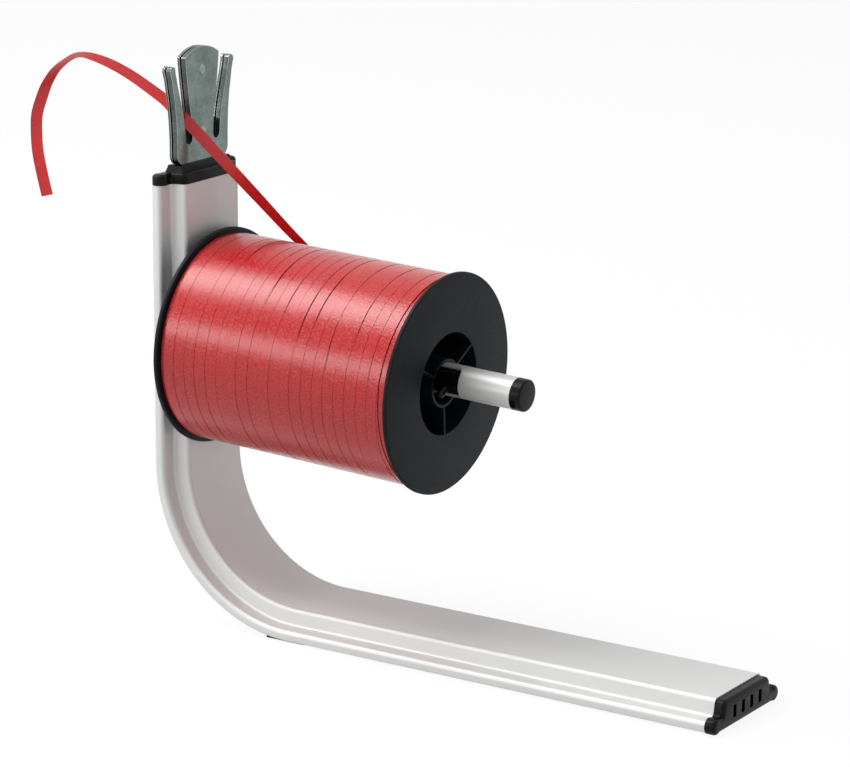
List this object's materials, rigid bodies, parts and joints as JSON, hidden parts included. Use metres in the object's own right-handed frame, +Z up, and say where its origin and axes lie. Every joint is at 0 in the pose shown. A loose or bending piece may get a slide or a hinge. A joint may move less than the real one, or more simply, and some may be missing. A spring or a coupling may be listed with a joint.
{
  "type": "ribbon spool dispenser",
  "caption": "Counter stand bent from aluminium channel, with a spool of curling ribbon on a drooping rod, a sprung catch that keeps it on, and a slotted cutter plate on top.",
  "frame": {"origin": "on the counter, in the middle of the stand's length and width", "axes": "+X from the upright to the tip of the foot, +Y across the channel, +Z up"},
  "size_m": [0.3372, 0.095, 0.2497],
  "materials": {
    "anodised_aluminium": "satin anodised extrusion with fine lines along its length",
    "black_moulding": "fine-grained black moulding with rounded edges",
    "pad_rubber": "dull black rubber",
    "rod_tube": "bright drawn tube",
    "turned_metal": "plain turned metal",
    "zinc_screw": "zinc-plated steel",
    "black_lever": "smooth black moulding",
    "spring_steel": "spring steel",
    "spool_plastic": "charcoal moulding with a fine grain",
    "ribbon_red": "satin polypropylene curling ribbon with a woven look",
    "cutter_plate_steel": "bright plated steel plate",
    "blade_steel": "dark ground blade steel"
  },
  "bodies": {
    "stand": {"bent_profile": "anodised_aluminium", "foot_end_cap": "black_moulding", "top_end_cap": "black_moulding", "heel_pads": "pad_rubber", "spool_rod": "rod_tube", "rod_insert": "turned_metal", "rod_washer": "turned_metal", "rod_screw": "zinc_screw", "rod_end_plug": "black_moulding", "catch_pivot_pin": "spring_steel", "catch_spring": "spring_steel", "ribbon_tail": "ribbon_red", "cutter_front_plate": "cutter_plate_steel", "cutter_back_plate": "cutter_plate_steel", "cutter_blade": "blade_steel", "cutter_spacer": "blade_steel", "cutter_rivets": "cutter_plate_steel", "cutter_screw": "zinc_screw"},
    "spool": {"spool_front_flange": "spool_plastic", "spool_back_flange": "spool_plastic", "spool_barrel": "spool_plastic", "ribbon_core": "ribbon_red", "ribbon_winding": "ribbon_red"},
    "catch": {"catch_lever": "black_lever"}
  },
  "joints": [
    {"name": "spool_spin", "type": "hinge", "parent": "stand", "child": "spool", "pos_m": [-0.06505, 0, 0.1214], "axis": [0.9991, 0, -0.0427], "continuous": true},
    {"name": "catch_press", "type": "hinge", "parent": "stand", "child": "catch", "pos_m": [-0.019, 0.0005, 0.12158], "axis": [0.0427, 0, 0.9991], "range_deg": [0, 9.5], "stiffness_Nm_per_rad": 0.06, "springref_deg": -20.05, "deforming": ["catch_spring"]}
  ]
}
